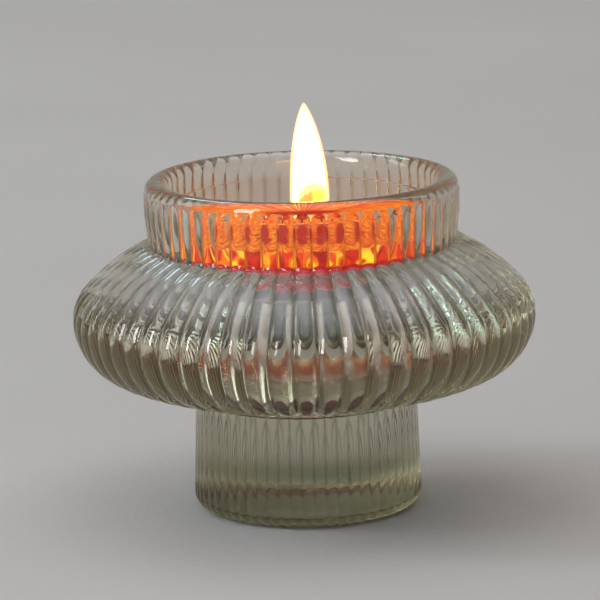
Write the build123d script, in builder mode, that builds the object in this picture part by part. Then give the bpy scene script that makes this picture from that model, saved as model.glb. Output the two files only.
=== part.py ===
"""Ribbed glass tealight holder with a tealight standing in its well.

Frame: +Z up, the origin on the table under the centre. Millimetres.
"""
import os
from math import acos, cos, degrees, radians, sin

from build123d import *

os.makedirs("parts", exist_ok=True)

# ---- driving dimensions: the glass ----
height = 50.6            # table to the top of the lip
belly_radius = 35.0      # widest point, over the rib crests
belly_z = 29.5           # height of the widest point
neck_radius = 23.8       # over the rib crests, at the top of the neck
neck_root_radius = 23.3  # over the rib crests, where the neck meets the shoulder
foot_radius = 17.3       # over the rib crests, just above the heel
foot_root_radius = 16.75  # over the rib crests, under the belly
heel_radius = 2.5        # rounding at the bottom of the foot

# The belly is four tangent arcs, from the neck down to the foot.
upper_belly_arc = 6.2    # radius of the arc above the widest point
upper_belly_turn = 41.0  # degrees that it turns
shoulder_arc = 26.5      # radius of the arc from there up to the neck
lower_belly_arc = 9.4    # radius of the arc below the widest point
lower_belly_turn = 64.0  # degrees that it turns
underside_arc = 25.0     # radius of the arc from there in to the foot

rib_count = 60           # ribs run unbroken over the neck, belly and foot
rib_depth_share = 0.02   # valley depth, as a share of the radius at that place

lip_radius = 1.6         # half-round top edge of the neck
lip_gap = 0.15           # how far the smooth lip stands in from the rib crests
rib_top_drop = 1.15      # top of the ribs below the top of the lip
rib_top_round = 1.1      # radius of the rounded end of each rib
cusp_length = 3.0        # how far the smooth lip tapers down between the ribs

well_floor_radius = 20.2  # the well that takes the tealight, at its floor
well_depth = 18.6
socket_radius = 11.6     # narrower socket under the well, for a dinner candle
socket_floor_radius = 11.2
socket_depth = 16.0      # below the well's floor
corner_round = 0.8       # rounding of the well's inner corner
punt_radius = 11.5       # shallow hollow under the base, inside the standing ring
punt_depth = 0.5
core_radius = 14.2       # the plain body that the ribs grow out of, within the heel

# ---- driving dimensions: the tealight ----
cup_radius = 19.0        # at the rim
cup_floor_radius = 18.5
cup_height = 15.0
cup_wall = 0.5
cup_floor = 0.5
cup_heel = 1.2           # rounding at the bottom of the cup
cup_ring_radius = 16.3   # inner radius of the ring that the cup stands on
cup_ring_height = 0.9    # how far the cup's floor is raised inside that ring
wax_depth = 8.8
sustainer_radius = 6.5   # thin metal foot that holds the wick upright
sustainer_thickness = 0.3
collar_radius = 1.4
collar_height = 3.0
wick_radius = 0.65
wick_rise = 3.5          # straight length of wick above the wax
wick_bend = 1.7          # radius of the curl at the wick's top
wick_curl = 85.0         # degrees that the tip curls over
wick_tip = 1.7           # length of the tip beyond the curl

# ---- places worked out from them ----
half_pitch = 180.0 / rib_count
well_floor_z = height - well_depth
socket_floor_z = well_floor_z - socket_depth
cup_top_z = well_floor_z + cup_height
wax_floor_z = well_floor_z + cup_ring_height + cup_floor
wax_z = wax_floor_z + wax_depth
rib_top_z = height - rib_top_drop


def on_arc(centre, radius, turn, sink=0.0):
    """A point of an outline arc, moved in along its normal by sink times its distance from the axis."""
    r = centre[0] + radius * cos(radians(turn))
    z = centre[1] + radius * sin(radians(turn))
    return r - sink * r * cos(radians(turn)), z - sink * r * sin(radians(turn))


def belly_arc(centre, radius, start, end, sink):
    """One arc of the belly's outline, from one angle to another."""
    middle = (start + end) / 2
    ThreePointArc(
        on_arc(centre, radius, start, sink),
        on_arc(centre, radius, middle, sink),
        on_arc(centre, radius, end, sink),
    )


# Centres of the four arcs. Each pair shares the normal where they meet.
upper_centre = (belly_radius - upper_belly_arc, belly_z)
upper_end = on_arc(upper_centre, upper_belly_arc, upper_belly_turn)
shoulder_centre = (
    upper_end[0] - shoulder_arc * cos(radians(upper_belly_turn)),
    upper_end[1] - shoulder_arc * sin(radians(upper_belly_turn)),
)
neck_turn = degrees(acos((neck_root_radius - shoulder_centre[0]) / shoulder_arc))
lower_centre = (belly_radius - lower_belly_arc, belly_z)
lower_end = on_arc(lower_centre, lower_belly_arc, -lower_belly_turn)
underside_centre = (
    lower_end[0] - underside_arc * cos(radians(lower_belly_turn)),
    lower_end[1] + underside_arc * sin(radians(lower_belly_turn)),
)
foot_turn = -degrees(acos((foot_root_radius - underside_centre[0]) / underside_arc))


def rib_outline(sink):
    """Half section of the glass through a rib crest (sink 0) or a valley (sink rib_depth_share)."""
    neck = neck_radius * (1 - sink)
    foot = foot_radius * (1 - sink)
    heel = heel_radius - foot_radius * sink
    root = on_arc(shoulder_centre, shoulder_arc, neck_turn, sink)
    foot_root = on_arc(underside_centre, underside_arc, foot_turn, sink)
    rib_end = (neck - rib_top_round, rib_top_z)
    Polyline((core_radius - 1, heel_radius - heel), (core_radius - 1, rib_top_z), rib_end)
    RadiusArc(rib_end, (neck, rib_top_z - rib_top_round), rib_top_round)
    Line((neck, rib_top_z - rib_top_round), root)
    belly_arc(shoulder_centre, shoulder_arc, neck_turn, upper_belly_turn, sink)
    belly_arc(upper_centre, upper_belly_arc, upper_belly_turn, 0, sink)
    belly_arc(lower_centre, lower_belly_arc, 0, -lower_belly_turn, sink)
    belly_arc(underside_centre, underside_arc, -lower_belly_turn, foot_turn, sink)
    Line(foot_root, (foot, heel_radius))
    RadiusArc((foot, heel_radius), (foot - heel, heel_radius - heel), heel)
    Line((foot - heel, heel_radius - heel), (core_radius - 1, heel_radius - heel))


# ---- the ribbed glass body ----
with BuildPart() as rib:
    for turn, sink in ((-half_pitch, rib_depth_share), (0, 0), (half_pitch, rib_depth_share)):
        radial = Vector(cos(radians(turn)), sin(radians(turn)), 0)
        with BuildSketch(Plane((0, 0, 0), x_dir=radial, z_dir=radial.cross(Vector(0, 0, 1)))):
            with BuildLine():
                rib_outline(sink)
            make_face()
    loft()

lip_outer = neck_radius - lip_gap
lip_inner = lip_outer - 2 * lip_radius
lip_z = height - lip_radius

with BuildPart() as holder_glass:
    Cylinder(core_radius, rib_top_z, align=(Align.CENTER, Align.CENTER, Align.MIN))
    with PolarLocations(0, rib_count):
        add(rib.part)
    # smooth lip, tapering down between the rib ends
    with BuildSketch(Plane.XZ):
        with BuildLine():
            ThreePointArc((lip_inner, lip_z), (lip_outer - lip_radius, height), (lip_outer, lip_z))
            Polyline(
                (lip_outer, lip_z),
                (neck_radius * (1 - rib_depth_share) - lip_gap, lip_z - cusp_length),
                (lip_inner, lip_z - cusp_length),
                (lip_inner, lip_z),
            )
        make_face()
    revolve(axis=Axis.Z)
    # the well for the tealight, and the narrower socket below it
    with BuildSketch(Plane.XZ):
        with BuildLine():
            Polyline(
                (0, socket_floor_z),
                (socket_floor_radius, socket_floor_z),
                (socket_radius, well_floor_z),
                (well_floor_radius, well_floor_z),
                (lip_inner, lip_z),
                (lip_inner, height + 1),
                (0, height + 1),
                (0, socket_floor_z),
            )
        make_face()
        fillet(vertices().filter_by_position(Axis.X, 1, well_floor_radius), corner_round)
    revolve(axis=Axis.Z, mode=Mode.SUBTRACT)
    # shallow hollow under the base
    Cylinder(punt_radius, 2 * punt_depth, mode=Mode.SUBTRACT)
holder_glass.part.label = "holder_glass"
export_step(holder_glass.part, "parts/holder_glass.step")


# ---- the tealight, standing on the well's floor ----
with BuildPart() as tealight_cup:
    with BuildSketch(Plane.XZ):
        with BuildLine():
            Polyline(
                (0, wax_floor_z - cup_floor),
                (cup_ring_radius, wax_floor_z - cup_floor),
                (cup_ring_radius, well_floor_z),
                (cup_floor_radius, well_floor_z),
                (cup_radius, cup_top_z),
                (cup_radius - cup_wall, cup_top_z),
                (cup_floor_radius - cup_wall, wax_floor_z),
                (0, wax_floor_z),
                (0, wax_floor_z - cup_floor),
            )
        make_face()
        rim_corners = vertices().group_by(Axis.Y)[-1]
        outer_corner = vertices().group_by(Axis.Y)[0].sort_by(Axis.X)[-1]
        fillet(rim_corners, cup_wall * 0.4)
        fillet(outer_corner, cup_heel)
    revolve(axis=Axis.Z)
tealight_cup.part.label = "tealight_cup"
export_step(tealight_cup.part, "parts/tealight_cup.step")

with BuildPart() as wick_sustainer:
    with BuildSketch(Plane.XY.offset(wax_floor_z)):
        Circle(sustainer_radius)
        Circle(wick_radius, mode=Mode.SUBTRACT)
    extrude(amount=sustainer_thickness)
    with BuildSketch(Plane.XY.offset(wax_floor_z)):
        Circle(collar_radius)
        Circle(wick_radius, mode=Mode.SUBTRACT)
    extrude(amount=collar_height)
    top_edge = edges().filter_by(GeomType.CIRCLE).group_by(Axis.Z)[-1].sort_by(SortBy.RADIUS)[-1]
    fillet(top_edge, (collar_radius - wick_radius) * 0.6)
wick_sustainer.part.label = "wick_sustainer"
export_step(wick_sustainer.part, "parts/wick_sustainer.step")

with BuildPart() as wick:
    with BuildLine(Plane.XZ):
        straight = Line((0, wax_floor_z), (0, wax_z + wick_rise))
        curl = JernArc(straight @ 1, straight % 1, wick_bend, -wick_curl)
        PolarLine(curl @ 1, wick_tip, direction=curl % 1)
    with BuildSketch(Plane.XY.offset(wax_floor_z)):
        Circle(wick_radius)
    sweep()
wick.part.label = "wick"
export_step(wick.part, "parts/wick.step")

with BuildPart() as wax:
    with BuildSketch(Plane.XZ):
        with BuildLine():
            Polyline(
                (wick_radius, wax_floor_z),
                (cup_floor_radius - cup_wall, wax_floor_z),
                (cup_radius - cup_wall, cup_top_z),
                (wick_radius, cup_top_z),
                (wick_radius, wax_floor_z),
            )
        make_face()
        with Locations((0, wax_z)):
            Rectangle(3 * cup_radius, cup_height, align=(Align.CENTER, Align.MIN), mode=Mode.SUBTRACT)
    revolve(axis=Axis.Z)
    add(wick_sustainer.part, mode=Mode.SUBTRACT)
wax.part.label = "wax"
export_step(wax.part, "parts/wax.step")
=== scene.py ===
from math import acos, cos, degrees, pi, radians, sin

import bpy
import numpy as np
from mathutils import Matrix, Vector


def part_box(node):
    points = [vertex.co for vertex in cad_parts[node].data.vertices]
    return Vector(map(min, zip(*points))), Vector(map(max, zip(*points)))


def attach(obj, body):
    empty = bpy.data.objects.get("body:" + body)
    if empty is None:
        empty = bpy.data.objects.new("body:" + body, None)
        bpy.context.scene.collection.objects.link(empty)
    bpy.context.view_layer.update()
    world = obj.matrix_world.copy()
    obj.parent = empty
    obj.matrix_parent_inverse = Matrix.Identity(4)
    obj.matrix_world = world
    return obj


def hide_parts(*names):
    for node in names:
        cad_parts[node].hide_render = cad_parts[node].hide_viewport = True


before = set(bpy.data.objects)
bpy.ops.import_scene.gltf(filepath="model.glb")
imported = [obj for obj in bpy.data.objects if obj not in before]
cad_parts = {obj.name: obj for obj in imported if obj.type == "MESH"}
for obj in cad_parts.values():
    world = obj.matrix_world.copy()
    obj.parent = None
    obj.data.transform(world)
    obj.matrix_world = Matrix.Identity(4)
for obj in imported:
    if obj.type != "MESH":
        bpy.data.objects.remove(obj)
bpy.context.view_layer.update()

MM = 0.001

# ---- sizes, from the frame and from the few dimensions that shape the glass ----
GLASS_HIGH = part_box("holder_glass")[1]
CUP_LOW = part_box("tealight_cup")[0]
WAX_LOW, WAX_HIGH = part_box("wax")

HEIGHT = GLASS_HIGH.z
BELLY_RADIUS = GLASS_HIGH.x
BELLY_Z = 29.5 * MM              # the widest point
NECK_RADIUS = 23.8 * MM
NECK_ROOT_RADIUS = 23.3 * MM
FOOT_RADIUS = 17.3 * MM
FOOT_ROOT_RADIUS = 16.75 * MM
HEEL_RADIUS = 2.5 * MM
UPPER_BELLY_ARC, UPPER_BELLY_TURN = 6.2 * MM, 41.0       # radius, and degrees that it turns
SHOULDER_ARC = 26.5 * MM
LOWER_BELLY_ARC, LOWER_BELLY_TURN = 9.4 * MM, 64.0
UNDERSIDE_ARC = 25.0 * MM
RIB_COUNT = 60
RIB_DEPTH_SHARE = 0.02           # valley depth, as a share of the radius at that place
LIP_RADIUS = 1.6 * MM
LIP_Z = HEIGHT - LIP_RADIUS
LIP_GAP = 0.15 * MM              # how far the smooth lip stands in from the rib crests
LIP_OUTER = NECK_RADIUS - LIP_GAP
RIB_TOP_Z = HEIGHT - 1.15 * MM
RIB_TOP_ROUND = 1.1 * MM
RIB_END_LOW_Z = HEIGHT - 5.0 * MM    # where the closer mesh rows for the rib ends begin
CUSP_LENGTH = 3.0 * MM           # how far the smooth lip tapers down between the ribs
LIP_BLEND = 0.05 * MM            # softness of the line where the ribs meet the lip
TOUCH_GAP = 0.02 * MM            # keeps faces that rest on each other from coinciding
WELL_FLOOR_RADIUS = 20.2 * MM
WELL_FLOOR_Z = CUP_LOW.z - TOUCH_GAP
SOCKET_RADIUS = 11.6 * MM
SOCKET_FLOOR_RADIUS = 11.2 * MM
SOCKET_FLOOR_Z = CUP_LOW.z - 16.0 * MM
CORNER_ROUND = 0.8 * MM
PUNT_RADIUS = 11.5 * MM
PUNT_DEPTH = 0.5 * MM
PUNT_CHAMFER = 0.1 * MM
BASE_FLAT_RADIUS = 14.2 * MM

STEPS_PER_RIB = 10               # mesh columns across one rib
UNMARKED_ROWS = 6                # mesh rows under the foot that aren't marked as valleys
END_ROWS = 28                    # mesh rows for the rib ends, up to the lip

WHITE = (1.0, 1.0, 1.0, 1.0)


# ---- shader helpers ----
def new_material(name):
    material = bpy.data.materials.new(name)
    material.use_nodes = True
    tree = material.node_tree
    tree.nodes.clear()
    output = tree.nodes.new("ShaderNodeOutputMaterial")
    return material, tree, output


def add_node(tree, kind, inputs=None, **settings):
    node = tree.nodes.new(kind)
    for key, value in settings.items():
        setattr(node, key, value)
    for key, value in (inputs or {}).items():
        if isinstance(value, bpy.types.NodeSocket):
            tree.links.new(value, node.inputs[key])
        else:
            node.inputs[key].default_value = value
    return node


def maths(tree, operation, first, second):
    node = add_node(tree, "ShaderNodeMath", {0: first, 1: second}, operation=operation)
    return node.outputs["Value"]


def object_place(tree, stretch=(1, 1, 1)):
    place = add_node(tree, "ShaderNodeTexCoord")
    mapping = add_node(
        tree, "ShaderNodeMapping", {"Vector": place.outputs["Object"], "Scale": stretch})
    return mapping.outputs["Vector"]


def object_noise(tree, scale, detail=3.0, stretch=(1, 1, 1)):
    """Noise fixed to the piece, scale in features per metre."""
    noise = add_node(
        tree, "ShaderNodeTexNoise",
        {"Vector": object_place(tree, stretch), "Scale": scale, "Detail": detail},
    )
    return noise.outputs["Fac"]


def flattened(tree, place):
    """A place with its height taken out."""
    node = add_node(tree, "ShaderNodeVectorMath", {0: place, 1: (1, 1, 0)}, operation="MULTIPLY")
    return node.outputs["Vector"]


def height_and_radius(tree):
    """Height above the table, and distance from the axis."""
    place = object_place(tree)
    height = add_node(tree, "ShaderNodeSeparateXYZ", {"Vector": place}).outputs["Z"]
    radius = add_node(
        tree, "ShaderNodeVectorMath", {0: flattened(tree, place)}, operation="LENGTH")
    return height, radius.outputs["Value"]


def ramp(tree, value, stops):
    node = add_node(tree, "ShaderNodeValToRGB", {"Fac": value})
    elements = node.color_ramp.elements
    while len(elements) > 1:
        elements.remove(elements[-1])
    elements[0].position, elements[0].color = stops[0]
    for position, colour in stops[1:]:
        elements.new(position).color = colour
    return node.outputs["Color"]


def map_range(tree, value, low, high, to_low=0.0, to_high=1.0, smooth=False):
    node = add_node(
        tree, "ShaderNodeMapRange",
        {"Value": value, "From Min": low, "From Max": high, "To Min": to_low, "To Max": to_high},
        interpolation_type="SMOOTHSTEP" if smooth else "LINEAR",
    )
    return node.outputs["Result"]


def mix_colour(tree, share, first, second):
    node = add_node(tree, "ShaderNodeMix", {"Factor": share}, data_type="RGBA")
    for socket, value in ((node.inputs[6], first), (node.inputs[7], second)):
        if isinstance(value, bpy.types.NodeSocket):
            tree.links.new(value, socket)
        else:
            socket.default_value = value
    return node.outputs[2]


# ---- mesh helpers ----
def mesh_piece(name, points, faces):
    mesh = bpy.data.meshes.new(name)
    mesh.from_pydata([tuple(p) for p in points], [], [tuple(f) for f in faces])
    mesh.validate()
    piece = bpy.data.objects.new(name, mesh)
    bpy.context.scene.collection.objects.link(piece)
    mesh.polygons.foreach_set("use_smooth", [True] * len(mesh.polygons))
    return piece


def ring_faces(rows, columns):
    """Quads between rows of points that close round the axis."""
    row, column = np.meshgrid(np.arange(rows - 1), np.arange(columns), indexing="ij")
    here, beside = row * columns + column, row * columns + (column + 1) % columns
    return np.stack([here, beside, beside + columns, here + columns], -1).reshape(-1, 4)


def capped_rings(rings, first, last):
    """Points and faces of a closed skin: rings of points, with an end point at each end."""
    rows, columns = rings.shape[:2]
    points = np.concatenate([rings.reshape(-1, 3), [first, last]])
    faces = [tuple(face) for face in ring_faces(rows, columns)]
    end = (rows - 1) * columns
    for column in range(columns):
        beside = (column + 1) % columns
        faces.append((rows * columns, beside, column))
        faces.append((rows * columns + 1, end + column, end + beside))
    return points, faces


def turned_rings(outline, columns):
    """Rings of points round the axis, one for each (radius, height) of the outline."""
    turns = np.arange(columns) * 2 * pi / columns
    outline = np.array(outline, float)
    x = outline[:, :1] * np.cos(turns)
    y = outline[:, :1] * np.sin(turns)
    z = np.repeat(outline[:, 1:], columns, 1)
    return np.stack([x, y, z], -1)


def arc_points(centre, radius, start, end, count):
    turns = np.radians(np.linspace(start, end, count))
    return np.stack([centre[0] + radius * np.cos(turns), centre[1] + radius * np.sin(turns)], -1)


def line_points(start, end, count):
    start, end = np.array(start), np.array(end)
    return start + (end - start) * np.linspace(0, 1, count)[:, None]


# ---- the glass ----
def belly_points(centre, radius, start, end, count):
    """One arc of the belly, along a rib's crest and along a valley, without its last point."""
    turns = np.radians(np.linspace(start, end, count)[:-1])
    normal = np.stack([np.cos(turns), np.sin(turns)], -1)
    crest = np.array(centre) + radius * normal
    return crest, crest - RIB_DEPTH_SHARE * crest[:, :1] * normal


def outside_points():
    """Points up the outside, from under the foot to the top of the neck.

    They run along a rib's crest, and along a valley.
    """
    upper = np.array([BELLY_RADIUS - UPPER_BELLY_ARC, BELLY_Z])
    away = np.array([cos(radians(UPPER_BELLY_TURN)), sin(radians(UPPER_BELLY_TURN))])
    shoulder = upper - (SHOULDER_ARC - UPPER_BELLY_ARC) * away
    neck_turn = degrees(acos((NECK_ROOT_RADIUS - shoulder[0]) / SHOULDER_ARC))
    lower = np.array([BELLY_RADIUS - LOWER_BELLY_ARC, BELLY_Z])
    away = np.array([cos(radians(LOWER_BELLY_TURN)), -sin(radians(LOWER_BELLY_TURN))])
    under = lower - (UNDERSIDE_ARC - LOWER_BELLY_ARC) * away
    foot_turn = -degrees(acos((FOOT_ROOT_RADIUS - under[0]) / UNDERSIDE_ARC))
    valley_share = np.array([1 - RIB_DEPTH_SHARE, 1])

    stretches = []
    # the shallow hollow under the foot, the ring that it stands on, and the heel
    flat = np.array([
        [PUNT_RADIUS - PUNT_DEPTH, PUNT_DEPTH], [PUNT_RADIUS - PUNT_CHAMFER, PUNT_CHAMFER],
        [PUNT_RADIUS + PUNT_CHAMFER, 0], [BASE_FLAT_RADIUS, 0],
    ])
    stretches.append((flat, flat))
    heel_centre = (FOOT_RADIUS - HEEL_RADIUS, HEEL_RADIUS)
    valley_heel = HEEL_RADIUS - FOOT_RADIUS * RIB_DEPTH_SHARE
    stretches.append((
        arc_points(heel_centre, HEEL_RADIUS, -90, 0, 11),
        arc_points(heel_centre, valley_heel, -90, 0, 11),
    ))
    # the foot
    foot_top, foot_top_valley = (
        part[0] for part in belly_points(under, UNDERSIDE_ARC, foot_turn, 0, 2))
    foot_start = np.array([FOOT_RADIUS, HEEL_RADIUS])
    stretches.append((
        line_points(foot_start, foot_top, 9)[1:-1],
        line_points(foot_start * valley_share, foot_top_valley, 9)[1:-1],
    ))
    # the belly, from the foot up to the neck
    stretches.append(belly_points(under, UNDERSIDE_ARC, foot_turn, -LOWER_BELLY_TURN, 16))
    stretches.append(belly_points(lower, LOWER_BELLY_ARC, -LOWER_BELLY_TURN, 0, 22))
    stretches.append(belly_points(upper, UPPER_BELLY_ARC, 0, UPPER_BELLY_TURN, 12))
    stretches.append(belly_points(shoulder, SHOULDER_ARC, UPPER_BELLY_TURN, neck_turn, 16))
    # the neck
    neck_root, neck_root_valley = (
        part[0] for part in belly_points(shoulder, SHOULDER_ARC, neck_turn, 0, 2))
    neck_top = np.array([NECK_RADIUS, RIB_END_LOW_Z])
    stretches.append((
        line_points(neck_root, neck_top, 8),
        line_points(neck_root_valley, neck_top * valley_share, 8),
    ))
    crest = np.concatenate([stretch[0] for stretch in stretches])
    valley = np.concatenate([stretch[1] for stretch in stretches])
    return crest, valley


def inside_points():
    """Points over the lip, down the well and down the socket, in to near the axis."""
    lip_middle = LIP_OUTER - LIP_RADIUS
    well_corner_z = WELL_FLOOR_Z + CORNER_ROUND
    socket_edge_z = WELL_FLOOR_Z - CORNER_ROUND
    socket_corner_z = SOCKET_FLOOR_Z + CORNER_ROUND
    bottom_radius = SOCKET_FLOOR_RADIUS - CORNER_ROUND
    return np.concatenate([
        arc_points((lip_middle, LIP_Z), LIP_RADIUS, 0, 180, 17)[1:],
        line_points((lip_middle - LIP_RADIUS, LIP_Z), (WELL_FLOOR_RADIUS, well_corner_z), 8)[1:],
        arc_points((WELL_FLOOR_RADIUS - CORNER_ROUND, well_corner_z), CORNER_ROUND, 0, -90, 5)[1:],
        arc_points((SOCKET_RADIUS + CORNER_ROUND, socket_edge_z), CORNER_ROUND, 90, 180, 5),
        line_points((SOCKET_RADIUS, socket_edge_z), (SOCKET_FLOOR_RADIUS, socket_corner_z), 6)[1:],
        arc_points((bottom_radius, socket_corner_z), CORNER_ROUND, 0, -90, 6)[1:],
        np.array([[0.5 * bottom_radius, SOCKET_FLOOR_Z]]),
    ])


def soft_max(a, b, width):
    return 0.5 * (a + b + np.sqrt((a - b) ** 2 + width ** 2))


def make_glass():
    """The holder, as one closed skin whose rings of points follow the ribs."""
    columns = RIB_COUNT * STEPS_PER_RIB
    across = (np.arange(columns) % STEPS_PER_RIB) / STEPS_PER_RIB
    valley_share = (2 * across - 1) ** 2          # 0 on a rib's crest, 1 in a valley
    turns = (np.arange(columns) - STEPS_PER_RIB / 2) * 2 * pi / columns
    crest, valley = outside_points()
    radius = crest[:, :1] + (valley - crest)[:, :1] * valley_share
    height = crest[:, 1:] + (valley - crest)[:, 1:] * valley_share
    # the rib ends, and the smooth lip that tapers down between them
    end_z = np.linspace(crest[-1][1], LIP_Z, END_ROWS + 1)[1:][:, None]
    above = np.clip((end_z - (RIB_TOP_Z - RIB_TOP_ROUND)) / RIB_TOP_ROUND, 0, 0.999)
    rib_end = NECK_RADIUS * (1 - RIB_DEPTH_SHARE * valley_share)
    rib_end = rib_end - RIB_TOP_ROUND * (1 - np.sqrt(1 - above ** 2))
    taper = NECK_RADIUS * RIB_DEPTH_SHARE / CUSP_LENGTH
    lip_side = LIP_OUTER - taper * (LIP_Z - end_z)
    radius = np.concatenate([radius, soft_max(rib_end, lip_side, LIP_BLEND)])
    height = np.concatenate([height, end_z + 0 * valley_share])
    inside = inside_points()
    radius = np.concatenate([radius, inside[:, :1] + 0 * valley_share])
    height = np.concatenate([height, inside[:, 1:] + 0 * valley_share])
    rings = np.stack([radius * np.cos(turns), radius * np.sin(turns), height], -1)
    piece = mesh_piece(
        "ribbed_glass", *capped_rings(rings, (0, 0, PUNT_DEPTH), (0, 0, SOCKET_FLOOR_Z)))
    # how near each point is to the bottom of a valley, for the painted shade in the valleys
    valleys = np.zeros(rings.shape[:2])
    valleys[UNMARKED_ROWS:len(crest)] = valley_share
    # the valleys run out in the lip's taper
    fade = np.clip((LIP_Z - end_z) / CUSP_LENGTH, 0, 1)
    valleys[len(crest):len(crest) + END_ROWS] = valley_share * fade
    store = piece.data.attributes.new("valley", "FLOAT", "POINT")
    store.data.foreach_set("value", np.concatenate([valleys.ravel(), [0, 0]]))
    return piece


# Pairs of places between which a mask on the glass goes from none to full, or from full to none.
GROUND_Z = (0.55 * MM, 0.7 * MM)             # the ring that the foot stands on is worn dull
FILM_RADIUS = (21.0 * MM, 20.8 * MM)         # the neck's inside, where wax vapour settles
FILM_Z = (WAX_HIGH.z - 1 * MM, WAX_HIGH.z + 1 * MM)
# painted shade: the foot's last few millimetres are coloured darker
HEEL_SHADE_Z = (6.5 * MM, 3.0 * MM)                # the foot's last few millimetres are a darker green
OUTSIDE_RADIUS = (22.0 * MM, 22.6 * MM)      # the outside of the neck, belly and shoulder
# Each of these bands round the outside comes in over one pair of heights and fades over the other.
NECK_START_Z, NECK_END_Z = (37.5 * MM, 39.5 * MM), (48.0 * MM, 45.0 * MM)
# painted sheen: a pale band on the shoulder
SHEEN_START_Z, SHEEN_END_Z = (32.5 * MM, 36.5 * MM), (42.0 * MM, 38.0 * MM)


def outside_band(tree, height, radius, start, end, most):
    """A mask over the glass's outside between two heights, up to a highest value."""
    band = maths(
        tree, "MULTIPLY", map_range(tree, height, *start, smooth=True),
        map_range(tree, height, *end, smooth=True))
    outside = map_range(tree, radius, *OUTSIDE_RADIUS, 0.0, most)
    return maths(tree, "MULTIPLY", band, outside)


def glass_material():
    material, tree, output = new_material("tinted_glass")
    height, radius = height_and_radius(tree)
    ripple = object_noise(tree, 260.0, 2.0, (1, 1, 2.5))
    bump = add_node(
        tree, "ShaderNodeBump", {"Strength": 0.10, "Distance": 0.2 * MM, "Height": ripple})
    haze = map_range(tree, object_noise(tree, 90.0, 4.0), 0.45, 0.75, 0.0, 0.02)
    ground = map_range(tree, height, *GROUND_Z, 0.45, 0.0)
    # painted shade: the valleys between the ribs are coloured darker than the crests
    valley = add_node(tree, "ShaderNodeAttribute", attribute_name="valley").outputs["Fac"]
    valley_shade = map_range(tree, valley, 0.25, 1.0, smooth=True)
    colour = mix_colour(tree, valley_shade, WHITE, (0.46, 0.44, 0.38, 1.0))
    # painted shade near the base: the foot's last few millimetres are coloured a darker green
    low = map_range(tree, height, *HEEL_SHADE_Z, smooth=True)
    colour = mix_colour(tree, low, colour, (0.34, 0.40, 0.28, 1.0))
    # a thin film of wax vapour above the wax
    film = maths(
        tree, "MULTIPLY", map_range(tree, radius, *FILM_RADIUS), map_range(tree, height, *FILM_Z))
    colour = mix_colour(tree, film, colour, (0.90, 0.79, 0.66, 1.0))
    # the neck's outside is a little browner
    neck = outside_band(tree, height, radius, NECK_START_Z, NECK_END_Z, 0.3)
    colour = mix_colour(tree, neck, colour, (0.50, 0.44, 0.20, 1.0))
    # a pale painted sheen on the shoulder: there the glass scatters part of the light instead of
    # passing it
    painted_sheen = outside_band(tree, height, radius, SHEEN_START_Z, SHEEN_END_Z, 0.30)
    film_and_sheen = maths(tree, "ADD", maths(tree, "MULTIPLY", film, 0.04), painted_sheen)
    glass = add_node(
        tree, "ShaderNodeBsdfPrincipled",
        {
            "Base Color": colour,
            "Roughness": maths(tree, "ADD", haze, ground),
            "IOR": 1.52,
            "Specular Tint": (0.55, 0.55, 0.55, 1.0),
            "Transmission Weight": maths(tree, "SUBTRACT", 1.0, film_and_sheen),
            "Normal": bump.outputs["Normal"],
        },
    )
    tint = add_node(
        tree, "ShaderNodeVolumeAbsorption", {"Color": (0.60, 0.57, 0.38, 1.0), "Density": 40.0})
    tree.links.new(glass.outputs["BSDF"], output.inputs["Surface"])
    tree.links.new(tint.outputs["Volume"], output.inputs["Volume"])
    return material


glass = make_glass()
glass.data.materials.append(glass_material())
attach(glass, "holder")
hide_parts("holder_glass")


# ---- the tealight's wax, melted on top, with a painted glow in place of the flame's light through it ----
# Pairs of places between which one colour of the wax's painted glow gives way to the next.
POOL_RADIUS = (4.0 * MM, 8.0 * MM)           # from deep red at the wick to bright
UNDER_RADIUS = (13.5 * MM, 16.5 * MM)        # underneath, from near black to dark red
CRIMSON_Z = (WAX_LOW.z + 0.2 * MM, WAX_LOW.z + 1.6 * MM)
BRIGHT_Z = (WAX_HIGH.z - 3.0 * MM, WAX_HIGH.z - 1.4 * MM)
TOP_Z = (WAX_HIGH.z - 0.5 * MM, WAX_HIGH.z - 0.2 * MM)


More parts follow.
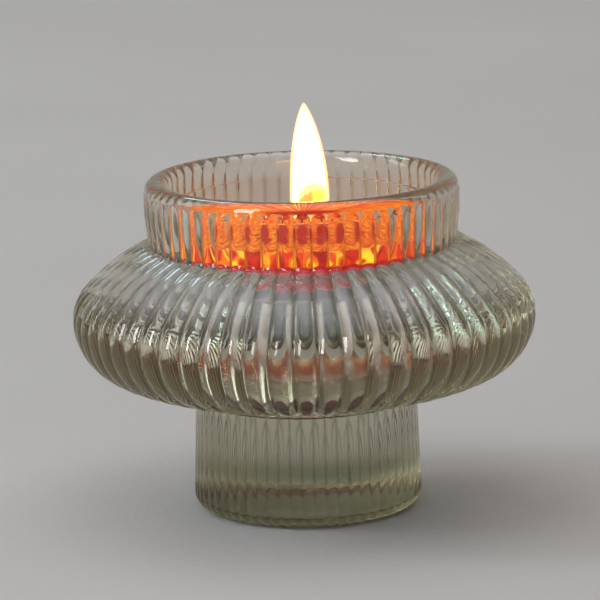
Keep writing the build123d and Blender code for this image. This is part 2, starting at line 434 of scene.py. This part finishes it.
def wax_material():
    """The glow is painted by radius and height, in streaks that run out from the wick."""
    material, tree, output = new_material("red_wax")
    height, radius = height_and_radius(tree)
    cloud = object_noise(tree, 420.0, 3.0)
    # streaks of painted glow that run out from the wick over the pool, and down the side
    flat = flattened(tree, object_place(tree))
    outward = add_node(tree, "ShaderNodeVectorMath", {0: flat}, operation="NORMALIZE")
    streak = add_node(
        tree, "ShaderNodeTexNoise",
        {"Vector": outward.outputs["Vector"], "Scale": 48.0, "Detail": 2.0},
    ).outputs["Fac"]
    streak = map_range(tree, streak, 0.36, 0.62)
    streak = maths(tree, "ADD", streak, map_range(tree, cloud, 0.3, 0.7, -0.15, 0.15))
    deep = ramp(tree, streak, [
        (0.0, (0.30, 0.002, 0.003, 1)), (0.6, (0.46, 0.006, 0.004, 1)),
        (1.0, (0.70, 0.04, 0.004, 1)),
    ])
    bright = ramp(tree, streak, [
        (0.0, (0.45, 0.004, 0.003, 1)), (0.45, (0.92, 0.045, 0.003, 1)),
        (0.74, (1.15, 0.27, 0.004, 1)), (1.0, (1.4, 0.90, 0.03, 1)),
    ])
    # painted glow: the melted pool is deep red round the wick and glows towards the cup
    pool = mix_colour(tree, map_range(tree, radius, *POOL_RADIUS, smooth=True), deep, bright)
    # painted glow and shade: the side is bright under the surface, crimson below, and dark
    # underneath
    underneath = mix_colour(
        tree, map_range(tree, radius, *UNDER_RADIUS, smooth=True),
        (0.04, 0.016, 0.010, 1), (0.36, 0.006, 0.014, 1))
    crimson = mix_colour(
        tree, map_range(tree, height, *CRIMSON_Z, smooth=True),
        underneath, (0.48, 0.003, 0.012, 1))
    side = mix_colour(tree, map_range(tree, height, *BRIGHT_Z, smooth=True), crimson, bright)
    on_top = map_range(tree, height, *TOP_Z)
    wax = add_node(
        tree, "ShaderNodeBsdfPrincipled",
        {
            "Base Color": ramp(
                tree, cloud, [(0.3, (0.05, 0.001, 0.001, 1)), (0.7, (0.10, 0.002, 0.002, 1))]),
            "Roughness": map_range(tree, cloud, 0.3, 0.7, 0.05, 0.12),
            "Specular IOR Level": 0.0,
            "Emission Color": mix_colour(tree, on_top, side, pool),
            "Emission Strength": 1.04,
        },
    )
    tree.links.new(wax.outputs["BSDF"], output.inputs["Surface"])
    return material


def make_wax():
    """The wax fills the cup to its level, creeps up the wall a little and rises to the wick."""
    base, top = WAX_LOW.z - TOUCH_GAP, WAX_HIGH.z
    # it sinks slightly into the cup, so that no air shows between them
    wall_low, wall_high = WAX_HIGH.x - 0.26 * MM, WAX_HIGH.x + 0.06 * MM
    heel = 0.8 * MM
    creep = 0.45 * MM
    wall_round, wick_round = 1.3 * MM, 1.05 * MM
    outline = np.concatenate([
        arc_points((wall_low - heel, base + heel), heel, -90, 0, 6),
        line_points((wall_low, base + heel), (wall_high, top + creep), 10)[1:],
        arc_points((wall_high - wall_round, top + wall_round), wall_round, -20, -90, 8)[1:],
        # the pool dips a little half way out
        np.array([
            [11 * MM, top - 0.05 * MM], [6 * MM, top - 0.12 * MM], [2.6 * MM, top - 0.05 * MM]]),
        arc_points((1.9 * MM, top + wick_round), wick_round, -110, -175, 6),
    ])
    rings = turned_rings(outline, 192)
    return mesh_piece(
        "melted_wax", *capped_rings(rings, (0, 0, base), (0, 0, outline[-1][1])))


wax = make_wax()
wax.data.materials.append(wax_material())
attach(wax, "tealight")
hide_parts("wax")


# ---- the wick: three cotton strands twisted together, charred, its tip glowing ----
WICK_RISE = 3.5 * MM
WICK_BEND = 1.7 * MM
WICK_CURL = radians(85)
WICK_TIP = 1.7 * MM
WICK_STRAIGHT = WAX_HIGH.z + WICK_RISE - WAX_LOW.z
WICK_LENGTH = WICK_STRAIGHT + WICK_BEND * WICK_CURL + WICK_TIP
STRANDS = 3
STRAND_OFFSET = 0.32 * MM
STRAND_RADIUS = 0.36 * MM
TWIST_LENGTH = 2.4 * MM
EMBER_LENGTH = 2.4 * MM          # of the wick's end, which swells where it glows
EMBER_FADE = 1.2 * MM
EMBER_SWELL, EMBER_SPREAD = 0.55, 0.3        # how much fatter and further apart the strands get
KNOT_SIZE, KNOT_RATE = 0.14, 5200            # share of the radius, and radians per metre
END_ROUND = 0.5 * MM


def wick_place(along):
    """Point and direction at a length along the wick's middle line."""
    if along <= WICK_STRAIGHT:
        return np.array([0, 0, WAX_LOW.z + along]), np.array([0.0, 0, 1])
    turn = min((along - WICK_STRAIGHT) / WICK_BEND, WICK_CURL)
    beyond = along - WICK_STRAIGHT - turn * WICK_BEND
    direction = np.array([sin(turn), 0, cos(turn)])
    bend_z = WAX_LOW.z + WICK_STRAIGHT + WICK_BEND * sin(turn)
    corner = np.array([WICK_BEND * (1 - cos(turn)), 0, bend_z])
    return corner + beyond * direction, direction


def strand_rings(start_turn, rows=110, columns=12):
    """Rings of points along one strand, which turns about the wick's middle line."""
    rings, sides = [], np.arange(columns) * 2 * pi / columns
    for along in np.linspace(0.05 * MM, WICK_LENGTH, rows):
        middle, direction = wick_place(along)
        across = np.array([0.0, 1, 0])
        outward = np.cross(across, direction)
        turn = start_turn + 2 * pi * along / TWIST_LENGTH
        ember = np.clip((along - (WICK_LENGTH - EMBER_LENGTH)) / EMBER_FADE, 0, 1)
        to_end = max(WICK_LENGTH - along, 0) / END_ROUND
        closing = (1 - (1 - min(to_end, 1)) ** 2) ** 0.5
        knots = 1 + KNOT_SIZE * sin(along * KNOT_RATE + 2 * start_turn) * (0.4 + ember)
        radius = STRAND_RADIUS * (1 + EMBER_SWELL * ember) * knots * max(closing, 0.06)
        offset = STRAND_OFFSET * (1 + EMBER_SPREAD * ember)
        centre = middle + offset * (cos(turn) * outward + sin(turn) * across)
        rings.append([
            centre + radius * (cos(side) * outward + sin(side) * across) for side in sides])
    return np.array(rings)


def make_wick():
    points, faces = [], []
    for strand in range(STRANDS):
        rings = strand_rings(strand * 2 * pi / STRANDS)
        strand_points, strand_faces = capped_rings(rings, rings[0].mean(0), rings[-1].mean(0))
        faces += [tuple(corner + len(points) for corner in face) for face in strand_faces]
        points += list(strand_points)
    return mesh_piece("braided_wick", points, faces)


def wick_material():
    material, tree, output = new_material("charred_wick")
    across = add_node(tree, "ShaderNodeSeparateXYZ", {"Vector": object_place(tree)}).outputs["X"]
    fibre = object_noise(tree, 3000.0, 3.0)
    ember = map_range(tree, across, 1.3 * MM, 2.1 * MM, smooth=True)
    wick = add_node(
        tree, "ShaderNodeBsdfPrincipled",
        {
            "Base Color": ramp(
                tree, fibre, [(0.3, (0.010, 0.008, 0.007, 1)), (0.7, (0.05, 0.035, 0.03, 1))]),
            "Roughness": 0.9,
            "Emission Color": ramp(
                tree, fibre, [(0.35, (1.0, 0.36, 0.005, 1)), (0.6, (1.0, 0.72, 0.01, 1))]),
            "Emission Strength": maths(tree, "MULTIPLY", ember, 1.1),
        },
    )
    tree.links.new(wick.outputs["BSDF"], output.inputs["Surface"])
    return material


wick = make_wick()
wick.data.materials.append(wick_material())
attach(wick, "tealight")
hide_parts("wick")


# ---- the cup and the wick's metal foot keep their shapes ----
def plastic_material():
    material, tree, output = new_material("clear_plastic")
    scuff = object_noise(tree, 700.0, 4.0)
    bump = add_node(
        tree, "ShaderNodeBump", {"Strength": 0.05, "Distance": 0.1 * MM, "Height": scuff})
    plastic = add_node(
        tree, "ShaderNodeBsdfPrincipled",
        {
            "Base Color": (0.97, 0.97, 0.97, 1),
            "Roughness": map_range(tree, scuff, 0.4, 0.7, 0.01, 0.06),
            "IOR": 1.28,
            "Transmission Weight": 1.0,
            "Normal": bump.outputs["Normal"],
        },
    )
    tree.links.new(plastic.outputs["BSDF"], output.inputs["Surface"])
    return material


def metal_material():
    material, tree, output = new_material("thin_metal")
    grain = object_noise(tree, 2500.0, 2.0)
    metal = add_node(
        tree, "ShaderNodeBsdfPrincipled",
        {
            "Base Color": ramp(
                tree, grain, [(0.3, (0.55, 0.55, 0.56, 1)), (0.7, (0.75, 0.75, 0.76, 1))]),
            "Metallic": 1.0,
            "Roughness": map_range(tree, grain, 0.3, 0.7, 0.25, 0.4),
        },
    )
    tree.links.new(metal.outputs["BSDF"], output.inputs["Surface"])
    return material


for node, material in (("tealight_cup", plastic_material()), ("wick_sustainer", metal_material())):
    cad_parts[node].data.materials.clear()
    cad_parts[node].data.materials.append(material)


# ---- the flame ----
FLAME_FOOT_Z = WAX_HIGH.z + 2.4 * MM
FLAME_WIDE_Z = WAX_HIGH.z + 5.0 * MM
FLAME_TIP_Z = HEIGHT + 10.6 * MM
FLAME_RADIUS = 2.62 * MM
FLAME_FOOT_X, FLAME_TIP_X = 1.22 * MM, 0.62 * MM
EDGE_WIDTH = 0.34 * MM
DARK_ZONE = (1.7 * MM, 0, WAX_HIGH.z + 4.6 * MM)         # middle of the dim part round the ember
DARK_ZONE_SIZE = (2.7 * MM, 5.5 * MM, 3.7 * MM)
DARK_ZONE_EDGE = (0.82, 1.06)                # in shares of that size


def make_flame(name, grow, columns=64):
    """Teardrop flame, round below and drawn up to a point. It leans a little; grow widens it."""
    rise = np.linspace(0, 1, 44)[1:-1]
    sink = np.linspace(1, 0, 14)[1:]
    foot_z, tip_z = FLAME_FOOT_Z - 0.5 * grow, FLAME_TIP_Z + 1.5 * grow
    shares = np.concatenate([(1 - sink ** 2) ** 0.5, (1 - rise ** 2) ** 0.75])
    heights = np.concatenate([
        FLAME_WIDE_Z + sink * (foot_z - FLAME_WIDE_Z),
        FLAME_WIDE_Z + rise * (tip_z - FLAME_WIDE_Z),
    ])
    lean = np.concatenate([0 * sink, rise ** 1.6])
    centres = FLAME_FOOT_X + lean * (FLAME_TIP_X - FLAME_FOOT_X)
    turns = np.arange(columns) * 2 * pi / columns
    radii = ((FLAME_RADIUS + grow) * shares)[:, None]
    rings = np.stack([
        centres[:, None] + radii * np.cos(turns),
        radii * np.sin(turns),
        np.repeat(heights[:, None], columns, 1),
    ], -1)
    return mesh_piece(
        name, *capped_rings(rings, (FLAME_FOOT_X, 0, foot_z), (FLAME_TIP_X, 0, tip_z)))


def core_material():
    """White light, thin and yellow in the dark zone round the ember."""
    material, tree, output = new_material("flame_white")
    offset = object_place(tree)
    for operation, value in (("SUBTRACT", DARK_ZONE), ("DIVIDE", DARK_ZONE_SIZE)):
        node = add_node(tree, "ShaderNodeVectorMath", {0: offset, 1: value}, operation=operation)
        offset = node.outputs["Vector"]
    distance = add_node(tree, "ShaderNodeVectorMath", {0: offset}, operation="LENGTH")
    away = map_range(tree, distance.outputs["Value"], *DARK_ZONE_EDGE, smooth=True)
    clear = add_node(tree, "ShaderNodeBsdfTransparent", {"Color": WHITE})
    thin = add_node(tree, "ShaderNodeEmission", {"Color": (1.0, 0.62, 0.16, 1), "Strength": 0.30})
    veil = add_node(
        tree, "ShaderNodeAddShader", {0: clear.outputs["BSDF"], 1: thin.outputs["Emission"]})
    light = add_node(
        tree, "ShaderNodeEmission", {"Color": (1.0, 0.54, 0.10, 1), "Strength": 12.0})
    mixed = add_node(
        tree, "ShaderNodeMixShader",
        {0: away, 1: veil.outputs["Shader"], 2: light.outputs["Emission"]})
    tree.links.new(mixed.outputs["Shader"], output.inputs["Surface"])
    return material


def edge_material():
    """A faint yellow light that adds to what is behind it."""
    material, tree, output = new_material("flame_yellow")
    height = add_node(tree, "ShaderNodeSeparateXYZ", {"Vector": object_place(tree)}).outputs["Z"]
    strength = map_range(tree, height, FLAME_FOOT_Z, FLAME_WIDE_Z, 0.05, 0.7, smooth=True)
    clear = add_node(tree, "ShaderNodeBsdfTransparent", {"Color": WHITE})
    light = add_node(
        tree, "ShaderNodeEmission", {"Color": (1.0, 0.48, 0.08, 1), "Strength": strength})
    veil = add_node(
        tree, "ShaderNodeAddShader", {0: clear.outputs["BSDF"], 1: light.outputs["Emission"]})
    tree.links.new(veil.outputs["Shader"], output.inputs["Surface"])
    return material


flame_core = make_flame("flame_core", 0.0)
flame_core.data.materials.append(core_material())
flame_edge = make_flame("flame_edge", EDGE_WIDTH)
flame_edge.data.materials.append(edge_material())
for flame in (flame_core, flame_edge):
    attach(flame, "tealight")


# ---- the stage ----
def cloth_material():
    material, tree, output = new_material("pale_cloth")
    weave = object_noise(tree, 900.0, 2.0)
    broad = object_noise(tree, 6.0, 2.0)
    bump = add_node(
        tree, "ShaderNodeBump", {"Strength": 0.25, "Distance": 0.3 * MM, "Height": weave})
    cloth = add_node(
        tree, "ShaderNodeBsdfPrincipled",
        {
            "Base Color": ramp(
                tree, broad, [(0.3, (0.61, 0.60, 0.58, 1)), (0.7, (0.66, 0.65, 0.63, 1))]),
            "Roughness": 0.9,
            "Normal": bump.outputs["Normal"],
        },
    )
    tree.links.new(cloth.outputs["BSDF"], output.inputs["Surface"])
    return material


def make_floor():
    """A round floor whose edge turns up, twice as high behind as in front."""
    columns, flat_radius, edge_radius, edge_steps = 96, 0.8, 1.15, 10
    front_height, extra_behind = 0.03, 0.03
    turns = 2 * pi * np.arange(columns) / columns
    edge_heights = front_height + extra_behind * np.maximum(np.sin(turns), 0) ** 1.5
    rows = [(radius, 0 * turns) for radius in (0.2, 0.5, flat_radius)]
    for bend in pi / 2 * np.arange(1, edge_steps + 1) / edge_steps:
        radius = flat_radius + (edge_radius - flat_radius) * sin(bend)
        rows.append((radius, edge_heights * (1 - cos(bend))))
    rings = np.array([
        np.stack([radius * np.cos(turns), radius * np.sin(turns), heights], -1)
        for radius, heights in rows])
    faces = [tuple(reversed(face)) for face in ring_faces(len(rows), columns)]
    faces += [(len(rows) * columns, column, (column + 1) % columns) for column in range(columns)]
    points = np.concatenate([rings.reshape(-1, 3), [(0, 0, 0)]])
    floor = mesh_piece("stage_floor", points, faces)
    floor.location.z = -0.03 * MM        # so that the foot doesn't coincide with it
    floor.data.materials.append(cloth_material())


def area_light(name, place, target, size, power, colour, in_glass=True, on_floor=True):
    """A soft rectangular light.

    in_glass says whether the glass shows it, and on_floor whether it lights what isn't glass.
    """
    data = bpy.data.lights.new(name, "AREA")
    data.shape = "RECTANGLE"
    data.size, data.size_y = size
    data.energy = power
    data.color = colour
    lamp = bpy.data.objects.new(name, data)
    bpy.context.scene.collection.objects.link(lamp)
    lamp.location = place
    direction = Vector(target) - Vector(place)
    lamp.rotation_mode = "QUATERNION"
    lamp.rotation_quaternion = direction.to_track_quat("-Z", "Y")
    lamp.visible_diffuse = on_floor
    lamp.visible_transmission = in_glass
    lamp.visible_glossy = in_glass


def make_world():
    """What the glass shows of the room: bright above, dimmer in front and behind.

    It doesn't light the floor.
    """
    world = bpy.data.worlds.new("soft_room")
    bpy.context.scene.world = world
    world.use_nodes = True
    world.cycles_visibility.diffuse = False
    tree = world.node_tree
    tree.nodes.clear()
    place = add_node(tree, "ShaderNodeTexCoord")
    parts = add_node(tree, "ShaderNodeSeparateXYZ", {"Vector": place.outputs["Generated"]})
    height = map_range(tree, parts.outputs["Z"], -0.2, 1.0)
    straight_up = (1.0, (2.3, 2.6, 3.6, 1))
    behind = ramp(tree, height, [
        (0.0, (0.25, 0.24, 0.23, 1)), (0.17, (0.36, 0.34, 0.32, 1)),
        (0.31, (0.33, 0.30, 0.28, 1)), (0.54, (0.30, 0.25, 0.22, 1)),
        (0.62, (0.19, 0.135, 0.10, 1)), (0.80, (0.19, 0.135, 0.105, 1)),
        (0.88, (1.5, 1.5, 1.8, 1)), straight_up,
    ])
    ahead = ramp(tree, height, [
        (0.0, (0.10, 0.08, 0.07, 1)), (0.33, (0.16, 0.12, 0.10, 1)),
        (0.60, (0.60, 0.54, 0.50, 1)), (0.80, (1.3, 1.3, 1.5, 1)), straight_up,
    ])
    forward = map_range(tree, parts.outputs["Y"], 0.3, -0.3, smooth=True)
    shade = mix_colour(tree, forward, behind, ahead)
    room = add_node(tree, "ShaderNodeBackground", {"Color": shade, "Strength": 1.0})
    output = add_node(tree, "ShaderNodeOutputWorld")
    tree.links.new(room.outputs["Background"], output.inputs["Surface"])


def make_camera():
    """The photo's view, fitted to the holder's outline.

    It stands at a distance from aim, and looks just past it.
    """
    elevation, roll = radians(11.94), radians(1.375)
    distance = 0.6814
    aim = Vector((0, 0, 0.0292))
    past_aim = Vector((-0.00061, 0, 0.00229))
    data = bpy.data.cameras.new("camera")
    camera = bpy.data.objects.new("camera", data)
    bpy.context.scene.collection.objects.link(camera)
    bpy.context.scene.camera = camera
    data.sensor_width = 36.0
    data.lens = 270.2
    data.clip_start, data.clip_end = 0.01, 20.0
    camera.location = aim + distance * Vector((0, -cos(elevation), sin(elevation)))
    look = (aim + past_aim - camera.location).to_track_quat("-Z", "Y")
    camera.rotation_mode = "QUATERNION"
    camera.rotation_quaternion = look @ Matrix.Rotation(-roll, 3, "Z").to_quaternion()


HOLDER = (0, 0, 0.03)            # where the lights point

make_floor()
make_world()
area_light(
    "window_front", (-0.80, -0.84, 0.55), HOLDER, (0.34, 0.85), 19.0, (1.0, 0.94, 0.94),
    on_floor=False)
area_light("window_left", (-1.10, 0.10, 0.55), HOLDER, (0.30, 0.80), 4.5, (0.80, 0.92, 1.0))
area_light(
    "window_back", (-0.40, 0.66, 0.95), HOLDER, (0.22, 0.40), 3.0, (0.50, 0.80, 1.0),
    on_floor=False)
area_light(
    "window_right", (0.95, 0.28, 0.72), HOLDER, (0.16, 0.60), 0.9, (0.85, 0.95, 1.0),
    on_floor=False)
area_light(
    "overhead", (-0.2, 0.1, 1.5), HOLDER, (2.4, 2.4), 20.0, (1.0, 0.965, 0.92),
    in_glass=False)
make_camera()

scene = bpy.context.scene
scene.view_settings.view_transform = "Standard"
scene.cycles.max_bounces = 24
scene.cycles.transmission_bounces = 20
scene.cycles.glossy_bounces = 8
scene.cycles.transparent_max_bounces = 12
